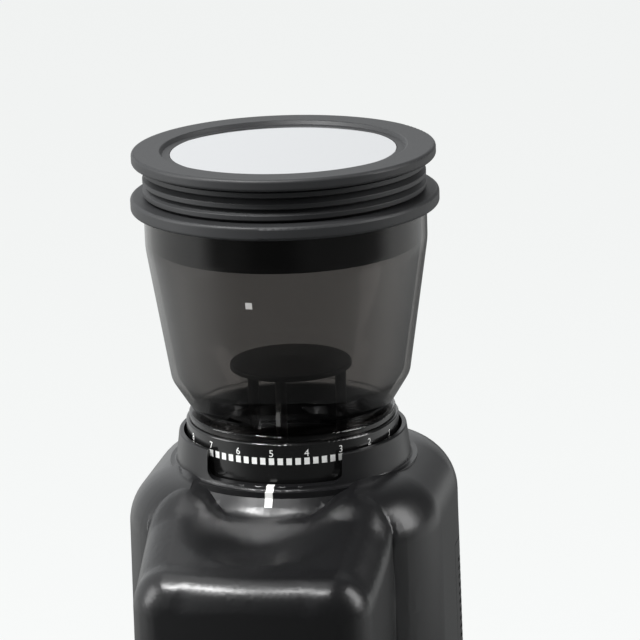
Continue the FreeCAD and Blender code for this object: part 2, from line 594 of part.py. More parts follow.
guard_hoop = turned("guard_hoop", [
    (f"{neck_inner} - 2", f"{ring_foot}"), (neck_inner, f"{ring_foot}"), (neck_inner, f"{ring_foot} + 4"),
    (f"{neck_inner} - 2", f"{ring_foot} + 4")])
guard_bits = []
for number, degrees in enumerate((30, 150, 270), 1):
    leg = rod(f"guard_leg{number}", "guard_leg", f"{guard_low} - {ring_foot}",
              f"guard_leg_at * cos({degrees} deg)",
              f"guard_leg_at * sin({degrees} deg)", ring_foot)
    arm = box(f"guard_arm{number}", "guard_leg_at", f"{neck_inner} - 1", "-guard_leg", "guard_leg",
              ring_foot, f"{ring_foot} + 3")
    arm.Placement = FreeCAD.Placement(V(), FreeCAD.Rotation(V(0, 0, 1), degrees))
    place(arm, f"guard_leg_at * cos({degrees} deg) + guard_leg * sin({degrees} deg)",
          f"guard_leg_at * sin({degrees} deg) - guard_leg * cos({degrees} deg)", ring_foot)
    guard_bits += [leg, arm]
keep("finger_guard", joined("finger_guard", guard_disc, guard_hoop, *guard_bits))

# Grind adjustment: scale ring, carrier and both burrs
keep("collar_seal", turned("collar_seal", [
    ("ledge_bore + 0.4", TOP), ("collar_bore - 0.4", TOP), ("collar_bore - 0.4", f"{TOP} + seal_thick"),
    ("ledge_bore + 0.4", f"{TOP} + seal_thick")]))
keep("scale_ring", turned("scale_ring", [
    ("ring_thread", f"{TOP} - ring_skirt_depth"), ("ring_skirt", f"{TOP} - ring_skirt_depth"),
    ("ring_skirt", SEAT),
    ("ring_radius", SEAT), ("ring_radius", RING_TOP, "0.8"), ("ring_bore", RING_TOP, "0.4"),
    ("ring_bore", f"{TOP} + ring_step"), ("ring_thread", f"{TOP} + ring_step")]))
carrier_top = f"({TOP} + carrier_top)"
carrier_low = f"({carrier_top} - carrier_flange)"
carrier_foot = f"({TOP} - carrier_foot)"
burr_low = f"({TOP} - ring_burr_foot)"
burr_high = f"({burr_low} + ring_burr_height)"
carrier_edge = "(ring_thread - carrier_gap)"
ring_spots = [(f"{carrier_edge} * cos({d} deg) * 0.66", f"{carrier_edge} * sin({d} deg) * 0.66",
               f"{burr_high} + 3")
              for d in (60, 180, 300)]
ring_bores = screw_bores("ring_bores", ring_spots, "6", "Z", -1)
ring_wells = [rod(f"ring_well{n}", "screw_head + screw_fit", "30", x, y, z) for n,
              (x, y, z) in enumerate(ring_spots, 1)]
carrier_solid = turned("carrier_solid", [
    ("burr_seat + burr_seat_fit", carrier_foot), ("carrier_skirt", carrier_foot),
    ("carrier_skirt", carrier_low),
    (carrier_edge, carrier_low), (carrier_edge, carrier_top), (f"{carrier_edge} - 1.6", carrier_top),
    ("ring_burr_top_inner + 0.6", f"{burr_high} + 4"), ("ring_burr_top_inner + 0.6", burr_high),
    ("burr_seat + burr_seat_fit", burr_high)])
keep("burr_carrier", less("burr_carrier", carrier_solid, *ring_wells, *ring_bores))
keep("ring_burr_screws", group("ring_burr_screws", screw_rods("ring_burr_screw", ring_spots, "5.5", "Z", -1)))


def toothed_core(levels, teeth, depth, twist):
    """Loft through toothed rings: one level is a radius and a height, turned on evenly."""
    wires = []
    for step, (radius, height) in enumerate(levels):
        turn = math.radians(twist) * step / (len(levels) - 1)
        corners = []
        for tooth in range(teeth):
            angle = turn + tooth * math.tau / teeth
            steep = angle + 0.3 * math.tau / teeth
            corners.append(V(radius * math.cos(angle), radius * math.sin(angle), height))
            corners.append(V((radius - depth) * math.cos(steep), (radius - depth) * math.sin(steep), height))
        wires.append(Part.makePolygon(corners + corners[:1]))
    return Part.makeLoft(wires, True, True)


cone_low = f"({TOP} - cone_foot)"
cone_high = f"({cone_low} + cone_height)"
cone_levels = []
for step in range(4):
    share = step / 3
    cone_levels.append((size("cone_base") + share * size("cone_top - cone_base"),
                        size(cone_low) + share * size("cone_height")))
cone_core = solid("cone_core", toothed_core(cone_levels, int(SIZES["burr_teeth"]), size("tooth_depth"),
                                            size("burr_twist")))
spindle_hole = rod("spindle_hole", "spindle_radius + spindle_fit", "cone_height + 10", z=f"{cone_low} - 5")
keep("cone_burr", less("cone_burr", cone_core, spindle_hole))
ring_levels = [(size("ring_burr_inner"), size(burr_low) - 1),
               (size("(ring_burr_inner + ring_burr_top_inner) / 2"),
                size(burr_low) + size("ring_burr_height") / 2),
               (size("ring_burr_top_inner"), size(burr_high) + 1)]
ring_core = solid("ring_core", toothed_core(ring_levels, int(SIZES["burr_teeth"]) * 2, size("tooth_depth"),
                                            -size("burr_twist") / 3))
ring_blank = rod("ring_blank", "burr_seat", "ring_burr_height", z=burr_low)
keep("ring_burr", less("ring_burr", ring_blank, ring_core, *ring_bores))

# Drive below the burrs
sweeper_low = f"({TOP} - sweeper_foot)"
blades = []
for number, degrees in enumerate((0, 60, 120), 1):
    blade = box(f"blade{number}", "-sweeper_radius", "sweeper_radius", "-1", "1", sweeper_low,
                f"{sweeper_low} + sweeper_height")
    blade.Placement = FreeCAD.Placement(V(), FreeCAD.Rotation(V(0, 0, 1), degrees))
    place(blade, f"-sweeper_radius * cos({degrees} deg) + sin({degrees} deg)",
          f"-sweeper_radius * sin({degrees} deg) - cos({degrees} deg)", sweeper_low)
    blades.append(blade)
sweeper_disc = rod("sweeper_disc", "sweeper_radius - 5", "sweeper_disc", z=sweeper_low)
hub = rod("sweeper_hub", "chamber_eye + 2", "sweeper_height", z=sweeper_low)
sweeper_hole = rod("sweeper_hole", "spindle_radius + spindle_fit", "20", z=f"{sweeper_low} - 5")
keep("sweeper", less("sweeper", joined("sweeper_solid", sweeper_disc, hub, *blades), sweeper_hole))
lower_bearing_low = f"({COVER_BOSS} + 1)"
upper_bearing_low = f"({CHAMBER} - bearing_height)"
spindle_low = f"({lower_bearing_low} + lift_gap)"
keep("burr_spindle", rod("burr_spindle", "spindle_radius", f"{cone_high} + nut_height + 1 - {spindle_low}",
                         z=spindle_low))
nut_solid = rod("nut_solid", "nut_radius", "nut_height", z=cone_high)
nut_hole = rod("nut_hole", "spindle_radius + spindle_fit", "20", z=f"{cone_high} - 5")
keep("burr_nut", less("burr_nut", nut_solid, nut_hole))
for node, low in (("upper_bearing", upper_bearing_low), ("lower_bearing", lower_bearing_low)):
    keep(node, turned(node, [
        ("spindle_radius + spindle_fit", low), ("bearing_radius", low),
        ("bearing_radius", f"{low} + bearing_height"),
        ("bearing_radius - 2.2", f"{low} + bearing_height"),
        ("bearing_radius - 2.2", f"{low} + bearing_height - bearing_groove"),
        ("spindle_radius + 2", f"{low} + bearing_height - bearing_groove"),
        ("spindle_radius + 2", f"{low} + bearing_height"),
        ("spindle_radius + spindle_fit", f"{low} + bearing_height")]))


def gear_outline(teeth, module, slack, phase):
    """Spur gear outline with involute flanks, one tooth centred on the phase angle."""
    pitch_radius = module * teeth / 2
    pressure = math.radians(20)
    root = pitch_radius - 1.2 * module
    base = pitch_radius * math.cos(pressure)
    tip = pitch_radius + 0.9 * module
    half_tooth = (math.pi * module / 2 - slack) / 2 / pitch_radius
    half_base = half_tooth + math.tan(pressure) - pressure
    low = max(base, root + 0.05 * module)
    flank = []
    for step in range(5):
        radius = low + (tip - low) * step / 4
        roll = math.acos(min(1.0, base / radius))
        flank.append((radius, half_base - (math.tan(roll) - roll)))
    corners = []
    for tooth in range(teeth):
        centre = phase + tooth * math.tau / teeth
        corners.append((root, centre - flank[0][1]))
        corners += [(radius, centre - half) for radius, half in flank]
        corners += [(radius, centre + half) for radius, half in reversed(flank)]
        corners.append((root, centre + flank[0][1]))
    points = [V(r * math.cos(a), r * math.sin(a), 0) for r, a in corners]
    return Part.Face(Part.makePolygon(points + points[:1]))


def gear(node, teeth, module, face, x, y, low, bore, phase):
    blank = gear_outline(int(SIZES[teeth]), size(module), size("backlash"),
                         phase).extrude(V(0, 0, size(face)))
    teeth_solid = solid(node + "_teeth", blank)
    teeth_solid.Placement = FreeCAD.Placement(V(), FreeCAD.Rotation())
    place(teeth_solid, x, y, low)
    eye = rod(node + "_eye", bore, f"{face} + 4", x, y, f"{low} - 2")
    keep(node, less(node, teeth_solid, eye))


to_idler = math.atan2(size(IDLER_Y), size("idler_x"))
to_motor = math.atan2(size(f"{MOTOR_Y} - {IDLER_Y}"), -size("idler_x"))
gear_low = f"({TOP} - gear_low)"
wheel_low = f"({TOP} - wheel_low)"
gear("main_gear", "main_teeth", "train_module", "gear_face", "0", "0", gear_low,
     "spindle_radius + spindle_fit", to_idler)
gear("idler_pinion", "idler_pinion_teeth", "train_module", "gear_face", "idler_x", IDLER_Y, gear_low,
     "idler_pin_radius + running_fit", to_idler + math.pi + math.pi / SIZES["idler_pinion_teeth"])
gear("idler_wheel", "idler_wheel_teeth", "motor_module", "wheel_face", "idler_x", IDLER_Y, wheel_low,
     "idler_pin_radius + running_fit", to_motor)
gear("motor_pinion", "motor_pinion_teeth", "motor_module", "wheel_face", "0", MOTOR_Y, wheel_low,
     "motor_shaft_radius + spindle_fit", to_motor + math.pi + math.pi / SIZES["motor_pinion_teeth"])
keep("idler_spacer", less("idler_spacer",
                          rod("spacer_solid", "idler_pin_radius + 2",
                              f"{gear_low} - {wheel_low} - wheel_face",
                                              "idler_x", IDLER_Y, f"{wheel_low} + wheel_face"),
                          rod("spacer_hole", "idler_pin_radius + running_fit", "20", "idler_x", IDLER_Y,
                              f"{wheel_low} + 4")))

# Gearbox and motor
case_solid = rod("case_solid", "case_radius", f"{CHAMBER} - {CASE}", "case_x", "case_y", CASE)
case_room = rod("case_room", "case_radius - case_wall", f"{CHAMBER} - {CASE} - case_lid + 1", "case_x",
                "case_y", f"{CASE} - 1")
case_boss = rod("case_boss", "boss_radius", "bearing_height + 1", z=f"{upper_bearing_low} - 1")
bearing_seat = rod("bearing_seat", "bearing_radius + bearing_fit", "bearing_height + 1", z=upper_bearing_low)
case_eye = rod("case_eye", "spindle_radius + 2.5", "20", z=f"{upper_bearing_low} - 10")
pin_low = f"({COVER} + 1)"
pin_high = f"({CHAMBER} - 2)"
pin_seat = rod("pin_seat", "idler_pin_radius", f"{pin_high} - {pin_low}", "idler_x", IDLER_Y, pin_low)
case_shell = joined("case_shell", less("case_cup", case_solid, case_room), case_boss)
case_spots = [(f"case_x + case_screw_at * cos({d} deg)", f"case_y + case_screw_at * sin({d} deg)", COVER)
              for d in (0, 150, 280)]
case_posts = [rod(f"case_post{n}", "screw_head", f"{CHAMBER} - {CASE} - 1", x, y, CASE) for n,
              (x, y, z) in enumerate(case_spots, 1)]
case_bores = screw_bores("case_bores", case_spots, "12")
keep("gearbox_housing", less("gearbox_housing", joined("case_all", case_shell, *case_posts), bearing_seat,
                             case_eye, pin_seat, *case_bores))
cover_solid = rod("cover_solid", "case_radius", "cover_thick", "case_x", "case_y", COVER)
cover_knob = rod("cover_knob", "boss_radius", "cover_boss + 1", z=COVER_BOSS)
lower_seat = rod("lower_seat", "bearing_radius + bearing_fit", "20", z=lower_bearing_low)
shaft_hole = rod("shaft_hole", "motor_bore", "20", y=MOTOR_Y, z=f"{COVER} - 5")
keep("gearbox_cover", less("gearbox_cover", joined("cover_all", cover_solid, cover_knob), lower_seat,
                           shaft_hole, pin_seat, *case_bores))
keep("gearbox_screws", group("gearbox_screws", screw_rods("gearbox_screw", case_spots, "10")))
keep("idler_pin", rod("idler_pin", "idler_pin_radius", f"{pin_high} - {pin_low}", "idler_x", IDLER_Y,
                      pin_low))
keep("motor_can", turned("motor_can", [
    ("motor_bore", MOTOR_FOOT), ("motor_radius", MOTOR_FOOT, "1"), ("motor_radius", MOTOR_TOP, "1.5"),
    ("motor_pilot", MOTOR_TOP), ("motor_pilot", COVER), ("motor_bore", COVER)]))
keep("motor_end_cap", turned("motor_end_cap", [
    ("motor_bore", f"{MOTOR_FOOT} - motor_cap_height"),
    ("motor_cap_radius", f"{MOTOR_FOOT} - motor_cap_height", "2"),
    ("motor_cap_radius", MOTOR_FOOT), ("motor_bore", MOTOR_FOOT)]))
for node in ("motor_can", "motor_end_cap"):
    place(NODES[node], y=MOTOR_Y)
keep("motor_shaft", rod("motor_shaft", "motor_shaft_radius", f"{wheel_low} + wheel_face - {MOTOR_FOOT} + 4",
                        y=MOTOR_Y,
                        z=f"{MOTOR_FOOT} - 4"))
keep("motor_posts", group("motor_posts", [
    rod("motor_post_left", "motor_post_radius", f"{COVER} - {MOTOR_TOP}", "-post_x", f"{MOTOR_Y} + 2",
        MOTOR_TOP),
    rod("motor_post_right", "motor_post_radius", f"{COVER} - {MOTOR_TOP}", "post_x", f"{MOTOR_Y} + 2",
        MOTOR_TOP)]))

# Grinding chamber and chute
chamber_side = "(chamber_bore + chamber_wall)"
cup_side = "(chamber_cup_bore + chamber_cup_wall)"
chamber_turn = turned("chamber_turn", [
    ("chamber_eye", CHAMBER), (chamber_side, CHAMBER), (chamber_side, ear_low), (cup_side, ear_low),
    (cup_side, CEILING),
    ("chamber_cup_bore", CEILING), ("chamber_cup_bore", CHAMBER_STEP), ("chamber_bore", CHAMBER_STEP),
    ("chamber_bore", CHAMBER_FLOOR), ("chamber_eye", CHAMBER_FLOOR)])
ears = [rod(f"ear{n}", "ear_radius", "ear_thick", x, y, ear_low) for n, (x, y) in enumerate(ear_spots, 1)]
cup_clear = rod("cup_clear", "chamber_cup_bore", "chamber_step + 1", z=CHAMBER_STEP)
outlet = box("outlet", "-outlet_half", "outlet_half", "-chamber_bore - 8", "-chamber_bore + 6", CHAMBER_FLOOR,
             f"{CHAMBER_FLOOR} + outlet_height")
keep("grinding_chamber", less("grinding_chamber", joined("chamber_all", chamber_turn, *ears), cup_clear,
                              outlet, *chamber_bores))
keep("chamber_screws", group("chamber_screws", screw_rods("chamber_screw", chamber_spots, "12")))

chute_top = f"({CHAMBER_FLOOR} + outlet_height + 3)"
spout_foot = f"({NOSE_FOOT} - spout_below)"
mouth = f"(-{chamber_side} - 0.4)"
chute_solid = raised("chute_solid", "YZ_Plane", [
    (mouth, f"{CHAMBER_FLOOR} - 4"), ("-spout_back", f"{CHAMBER_FLOOR} - 24"), ("-spout_back", spout_foot),
    ("-spout_front", spout_foot), ("-spout_front", f"{CHAMBER_FLOOR} - 18"),
    ("-spout_back - 8", f"{CHAMBER_FLOOR} - 7"),
    (mouth, chute_top)], "-chute_half", "2 * chute_half")
chute_room = raised("chute_room", "YZ_Plane", [
    (f"{mouth} + 2", f"{CHAMBER_FLOOR} - 0.4"), ("-spout_back - chute_wall", f"{CHAMBER_FLOOR} - 23"),
    ("-spout_back - chute_wall", f"{spout_foot} - 2"), ("-spout_front + chute_wall", f"{spout_foot} - 2"),
    ("-spout_front + chute_wall", f"{CHAMBER_FLOOR} - 18.6"), ("-spout_back - 7.5", f"{CHAMBER_FLOOR} - 9.4"),
    (f"{mouth} + 2", f"{chute_top} - 2.6")], "-chute_half + chute_wall", "2 * (chute_half - chute_wall)")
chute_flange = box("chute_rim", "-chute_half - chute_flange", "chute_half + chute_flange",
                   "-spout_front - chute_flange",
                   "-spout_back + chute_flange", f"{NOSE_FOOT} + wall",
                   f"{NOSE_FOOT} + wall + chute_flange_thick")
keep("discharge_chute", less("discharge_chute", joined("chute_all", chute_solid, chute_flange), chute_room))

# Controls
timer_out = "(board_x + board_thick + timer_length)"
keep("control_board", box("control_board", "board_x", "board_x + board_thick", "-board_front", "board_back",
                          FLOOR,
                          f"{FLOOR} + board_height"))
keep("timer_module", rod("timer_module", "timer_radius", "timer_length", "board_x + board_thick", "dial_y",
                         "dial_z", "X"))
dial_in = "(tower_half - dial_gap)"
knob = rod("knob", "dial_radius", "dial_thick", dial_in, "dial_y", "dial_z", "X")
stem = rod("dial_stem", "stem_radius", f"{dial_in} - {timer_out} - lift_gap + 1", f"{timer_out} + lift_gap",
           "dial_y", "dial_z", "X")
dial_face = f"({dial_in} + dial_thick)"
mark_slot = box("mark_slot", f"{dial_face} - dial_mark_depth", f"{dial_face} + 1",
                "dial_y - dial_mark_width / 2",
                "dial_y + dial_mark_width / 2", "dial_z + dial_radius / 3", "dial_z + dial_radius * 0.85")
keep("timer_dial", less("timer_dial", joined("dial_all", knob, stem), mark_slot))
keep("dial_mark", box("dial_mark", f"{dial_face} - dial_mark_depth", dial_face,
                      "dial_y - dial_mark_width / 2",
                      "dial_y + dial_mark_width / 2", "dial_z + dial_radius / 3",
                      "dial_z + dial_radius * 0.85"))
button_back = "(-nose_reach + button_in)"
press = rod("press", "button_radius", "button_out + button_in", y="-nose_reach - button_out", z="button_z",
            along="Y")
press_rim = rod("press_rim", "button_collar", "button_collar_thick",
                y="-nose_reach + base_wall + button_fit", z="button_z", along="Y")
keep("start_button", joined("start_button", press, press_rim))
switch_front = f"({button_back} + button_travel_gap + switch_stem_length)"
switch_case = box("switch_case", "-switch_half", "switch_half", switch_front,
                  f"{switch_front} + switch_depth",
                  "foot_height + plate_thick", "button_z + switch_half")
switch_stem = rod("switch_tip", "switch_stem", "switch_stem_length + 1",
                  y=f"{switch_front} - switch_stem_length", z="button_z", along="Y")
keep("start_switch", joined("start_switch", switch_case, switch_stem))

# Grounds bin
bin_half = "(bay_half - bin_gap)"
bin_front = "(nose_reach - bin_front_inset)"
bin_rear = "(bay_back + bin_back_gap)"
bin_solid = raised("bin_solid", "XY_Plane", [
    (f"-{bin_half}", f"-{bin_front}", "bin_corner"), (bin_half, f"-{bin_front}", "bin_corner"),
    (bin_half, f"-{bin_rear}", "4"), (f"-{bin_half}", f"-{bin_rear}", "4")], FLOOR, "bin_height")
bin_room = raised("bin_room", "XY_Plane", [
    (f"-({bin_half} - bin_wall)", f"-({bin_front} - bin_wall)", "bin_corner - bin_wall"),
    (f"{bin_half} - bin_wall", f"-({bin_front} - bin_wall)", "bin_corner - bin_wall"),
    (f"{bin_half} - bin_wall", f"-({bin_rear} + bin_wall)", "2"),
    (f"-({bin_half} - bin_wall)", f"-({bin_rear} + bin_wall)", "2")], f"{FLOOR} + bin_wall", "bin_height")
bin_pull = box("bin_pull", "-bin_pull_half", "bin_pull_half", f"-{bin_front} - bin_pull_out",
               f"-{bin_front} + bin_wall / 2",
               f"{FLOOR} + bin_pull_z", f"{FLOOR} + bin_pull_z + bin_pull_height")
keep("grounds_bin", less("grounds_bin", joined("bin_all", bin_solid, bin_pull), bin_room))

doc.recompute()
os.makedirs("parts", exist_ok=True)
for thing in doc.Objects:
    if "Invalid" in thing.State or "Error" in thing.State:
        raise RuntimeError(f"{thing.Label} did not build: {thing.State}")
for node, thing in NODES.items():
    if thing.Shape.isNull() or not thing.Shape.isValid() or not thing.Shape.Solids:
        raise RuntimeError(f"{node} has no valid solid")
    thing.Shape.exportStep(f"parts/{node}.step")
    print(node, len(thing.Shape.Solids), round(thing.Shape.Volume))
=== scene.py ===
"""Looks for the burr coffee grinder: finishes, printed scale, studio and camera."""
import math
import bmesh
import bpy
from mathutils import Matrix, Vector
from mathutils.bvhtree import BVHTree


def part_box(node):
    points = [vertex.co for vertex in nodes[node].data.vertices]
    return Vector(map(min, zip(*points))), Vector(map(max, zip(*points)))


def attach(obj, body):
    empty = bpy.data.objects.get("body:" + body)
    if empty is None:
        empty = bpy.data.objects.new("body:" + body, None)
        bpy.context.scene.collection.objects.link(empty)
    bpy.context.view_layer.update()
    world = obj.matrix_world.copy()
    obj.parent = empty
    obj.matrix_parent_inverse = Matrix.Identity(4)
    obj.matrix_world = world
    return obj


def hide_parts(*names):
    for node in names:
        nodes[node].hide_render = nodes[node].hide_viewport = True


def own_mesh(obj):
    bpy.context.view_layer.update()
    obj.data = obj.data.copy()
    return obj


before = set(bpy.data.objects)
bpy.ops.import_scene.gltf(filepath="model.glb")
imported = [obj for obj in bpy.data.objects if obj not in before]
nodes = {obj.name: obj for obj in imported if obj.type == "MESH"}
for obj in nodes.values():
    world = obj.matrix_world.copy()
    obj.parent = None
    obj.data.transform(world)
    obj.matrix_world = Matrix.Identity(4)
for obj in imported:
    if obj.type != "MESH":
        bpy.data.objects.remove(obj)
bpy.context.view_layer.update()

MM = 0.001


def copy_of(node, name):
    """A copy of a node's object, to be shaped and to stand for it."""
    piece = nodes[node].copy()
    piece.data = nodes[node].data.copy()
    piece.name = name
    piece.parent = None
    piece.matrix_world = nodes[node].matrix_world
    bpy.context.scene.collection.objects.link(piece)
    return piece


def map_range(tree, value, to_min, to_max, from_min=0.0, from_max=1.0):
    """Socket whose value runs between two limits as another does."""
    node = tree.nodes.new("ShaderNodeMapRange")
    node.inputs["From Min"].default_value = from_min
    node.inputs["From Max"].default_value = from_max
    node.inputs["To Min"].default_value = to_min
    node.inputs["To Max"].default_value = to_max
    tree.links.new(value, node.inputs["Value"])
    return node.outputs["Result"]


def arithmetic(tree, operation, *values):
    """Socket of an operation on sockets or plain numbers."""
    node = tree.nodes.new("ShaderNodeMath")
    node.operation = operation
    for value, term in zip(values, node.inputs):
        if isinstance(value, float):
            term.default_value = value
        else:
            tree.links.new(value, term)
    return node.outputs[0]


# Finishes
GRAIN_DEPTH = 0.1 * MM
GRAIN_DETAIL = 3.0
SHEEN = (0.9, 0.9, 0.9, 1.0)
SLANT_FROM = 0.45
SLANT_TO = 0.95
SLANT_TINT = 0.35


def finish(name, color, roughness, metallic=0.0, specular=0.5, grain=900.0, uneven=0.12, relief=0.03,
           stretch=1.0):
    """Solid finish whose gloss and surface vary with a fine grain; stretch draws the grain out along Z."""
    material = bpy.data.materials.new(name)
    material.use_nodes = True
    tree = material.node_tree
    shader = tree.nodes["Principled BSDF"]
    shader.inputs["Base Color"].default_value = (*color, 1.0)
    shader.inputs["Metallic"].default_value = metallic
    shader.inputs["Specular IOR Level"].default_value = specular
    place = tree.nodes.new("ShaderNodeTexCoord")
    size = tree.nodes.new("ShaderNodeMapping")
    size.inputs["Scale"].default_value = (grain, grain, grain / stretch)
    noise = tree.nodes.new("ShaderNodeTexNoise")
    noise.inputs["Scale"].default_value = 1.0
    noise.inputs["Detail"].default_value = GRAIN_DETAIL
    gloss = map_range(tree, noise.outputs["Fac"], roughness * (1 - uneven), roughness * (1 + uneven))
    bump = tree.nodes.new("ShaderNodeBump")
    bump.inputs["Strength"].default_value = relief
    bump.inputs["Distance"].default_value = GRAIN_DEPTH
    tree.links.new(place.outputs["Object"], size.inputs["Vector"])
    tree.links.new(size.outputs["Vector"], noise.inputs["Vector"])
    tree.links.new(gloss, shader.inputs["Roughness"])
    tree.links.new(noise.outputs["Fac"], bump.inputs["Height"])
    tree.links.new(bump.outputs["Normal"], shader.inputs["Normal"])
    return material


def smoky(name, tint, ior=1.46, gloss=0.04):
    """Thin tinted plastic: what is behind shows through, darker and with more sheen towards the edges."""
    material = bpy.data.materials.new(name)
    material.use_nodes = True
    tree = material.node_tree
    tree.nodes.remove(tree.nodes["Principled BSDF"])
    clear = tree.nodes.new("ShaderNodeBsdfTransparent")
    slant = tree.nodes.new("ShaderNodeLayerWeight")
    slant.inputs["Blend"].default_value = 0.5
    depth = tree.nodes.new("ShaderNodeValToRGB")
    depth.color_ramp.elements[0].position = SLANT_FROM
    depth.color_ramp.elements[0].color = (*tint, 1.0)
    depth.color_ramp.elements[1].position = SLANT_TO
    depth.color_ramp.elements[1].color = (*(SLANT_TINT * share for share in tint), 1.0)
    tree.links.new(slant.outputs["Facing"], depth.inputs["Fac"])
    tree.links.new(depth.outputs["Color"], clear.inputs["Color"])
    sheen = tree.nodes.new("ShaderNodeBsdfGlossy")
    sheen.inputs["Color"].default_value = SHEEN
    sheen.inputs["Roughness"].default_value = gloss
    side = tree.nodes.new("ShaderNodeNewGeometry")
    edge = tree.nodes.new("ShaderNodeFresnel")
    tree.links.new(map_range(tree, side.outputs["Backfacing"], ior, 1 / ior), edge.inputs["IOR"])
    mix = tree.nodes.new("ShaderNodeMixShader")
    tree.links.new(edge.outputs["Fac"], mix.inputs[0])
    tree.links.new(clear.outputs[0], mix.inputs[1])
    tree.links.new(sheen.outputs[0], mix.inputs[2])
    tree.links.new(mix.outputs[0], tree.nodes["Material Output"].inputs["Surface"])
    return material


SATIN = finish("black satin plastic", (0.006, 0.006, 0.0065), 0.30, specular=0.4, grain=1500.0, relief=0.02)
GLOSS = finish("black gloss plastic", (0.006, 0.006, 0.006), 0.15, relief=0.01)
RUBBER = finish("black rubber", (0.020, 0.0205, 0.0215), 0.5, specular=0.35, grain=1800.0, relief=0.06)
DARK = finish("dark plastic", (0.015, 0.015, 0.015), 0.4)
WHITE = finish("white print", (0.80, 0.80, 0.78), 0.45)
PALE = finish("pale print", (0.42, 0.41, 0.40), 0.5)
MIRROR = finish("polished metal", (0.86, 0.86, 0.87), 0.06, metallic=1.0, relief=0.004)
STEEL = finish("machined steel", (0.55, 0.55, 0.56), 0.3, metallic=1.0, grain=2200.0, stretch=0.05)
BRASS = finish("turned brass", (0.70, 0.52, 0.22), 0.3, metallic=1.0, grain=2200.0, stretch=0.05)
NATURAL = finish("natural plastic", (0.62, 0.58, 0.48), 0.45)
GREEN = finish("board lacquer", (0.01, 0.09, 0.03), 0.35)
ZINC = finish("zinc grey", (0.30, 0.31, 0.32), 0.4, metallic=0.6, grain=400.0, uneven=0.3)
SMOKE = smoky("smoky plastic", (0.48, 0.47, 0.462))

finishes = {
    SATIN: ["main_housing", "rear_cover", "base_plinth", "timer_dial"],
    GLOSS: ["scale_ring", "start_button"],
    RUBBER: ["lid_ring", "lid_bellows", "lid_cap", "rubber_feet", "cord_gland"],
    WHITE: ["index_pointer", "dial_mark"],
    MIRROR: ["lid_mirror"],
    SMOKE: ["hopper_bowl", "grounds_bin"],
    BRASS: ["motor_pinion", "idler_spacer"],
    NATURAL: ["main_gear", "idler_wheel"],
    GREEN: ["control_board"],
    ZINC: ["motor_can"],
    DARK: ["bottom_plate", "collar_seal", "finger_guard", "burr_carrier", "grinding_chamber",
           "discharge_chute", "gearbox_housing", "gearbox_cover", "sweeper", "motor_end_cap", "timer_module",
           "start_switch"],
}
finish_of = {node: material for material, names in finishes.items() for node in names}
for node, piece in nodes.items():
    piece.data.materials.clear()
    piece.data.materials.append(finish_of.get(node, STEEL))

# Printed grind scale: four blocks to each number, the rest setting under the pointer
RING_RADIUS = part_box("scale_ring")[1][0]
COLLAR_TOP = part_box("main_housing")[1][2]
PRINT_LIFT = 0.03 * MM
FIRST_NUMBER = 1
LAST_NUMBER = 8
REST_NUMBER = 5
NUMBER_STEP = math.radians(18.72)
BLOCKS_PER_NUMBER = 4
BLOCK_WIDTH = 2.1 * MM
BLOCK_HEIGHT = 2.7 * MM
BLOCK_Z = COLLAR_TOP - 2.0 * MM
NUMBER_Z = COLLAR_TOP + 1.1 * MM
NUMBER_SIZE = 3.9 * MM


def on_ring(angle, z, radius):
    """Point at an angle from the front, growing towards +X."""
    return Vector((radius * math.sin(angle), -radius * math.cos(angle), z))


def mesh_piece(name, corners, faces, material):
    mesh = bpy.data.meshes.new(name)
    mesh.from_pydata(corners, [], faces)
    mesh.materials.append(material)
    piece = bpy.data.objects.new(name, mesh)
    bpy.context.scene.collection.objects.link(piece)
    return piece


def scale_blocks():
    corners = []
    faces = []
    radius = RING_RADIUS + PRINT_LIFT
    half = BLOCK_WIDTH / 2 / radius
    for step in range((LAST_NUMBER - FIRST_NUMBER) * BLOCKS_PER_NUMBER + 1):
        angle = (REST_NUMBER - FIRST_NUMBER - step / BLOCKS_PER_NUMBER) * NUMBER_STEP
        first = len(corners)
        for side in (-half, 0.0, half):
            for z in (BLOCK_Z - BLOCK_HEIGHT / 2, BLOCK_Z + BLOCK_HEIGHT / 2):
                corners.append(on_ring(angle + side, z, radius))
        faces.append((first, first + 2, first + 3, first + 1))
        faces.append((first + 2, first + 4, first + 5, first + 3))
    return mesh_piece("scale_blocks", corners, faces, WHITE)


def scale_number(number):
    angle = (REST_NUMBER - number) * NUMBER_STEP
    text = bpy.data.curves.new(f"scale_number_{number}", "FONT")
    text.body = str(number)
    text.size = NUMBER_SIZE
    text.align_x = "CENTER"
    text.align_y = "CENTER"
    text.materials.append(WHITE)
    piece = bpy.data.objects.new(text.name, text)
    bpy.context.scene.collection.objects.link(piece)
    upright = Matrix.Rotation(angle, 4, "Z") @ Matrix.Rotation(math.pi / 2, 4, "X")
    piece.matrix_world = Matrix.Translation(on_ring(angle, NUMBER_Z, RING_RADIUS + 2 * PRINT_LIFT)) @ upright
    return piece


prints = [scale_blocks()]
prints += [scale_number(number) for number in range(FIRST_NUMBER, LAST_NUMBER + 1)]
for piece in prints:
    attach(piece, "ring")

# Fill mark on the hopper: a plain square on the front
LID_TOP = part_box("lid_ring")[1][2]
MARK_Z = LID_TOP - 32.2 * MM
MARK_ANGLE = math.radians(-4.4)
MARK_SIZE = 2.6 * MM
HOPPER_TOP_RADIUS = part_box("hopper_bowl")[1][0]
TAPER_TOP = LID_TOP - 20.0 * MM
TAPER_SLOPE = 8.0 / 53.0


def fill_mark():
    corners = []
    for z in (MARK_Z - MARK_SIZE / 2, MARK_Z + MARK_SIZE / 2):
        radius = HOPPER_TOP_RADIUS - (TAPER_TOP - z) * TAPER_SLOPE + 4 * PRINT_LIFT
        for side in (-0.5, 0.5):
            corners.append(on_ring(MARK_ANGLE + side * MARK_SIZE / radius, z, radius))
    return mesh_piece("fill_mark", corners, [(0, 1, 3, 2)], PALE)


mark = fill_mark()
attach(mark, "hopper")

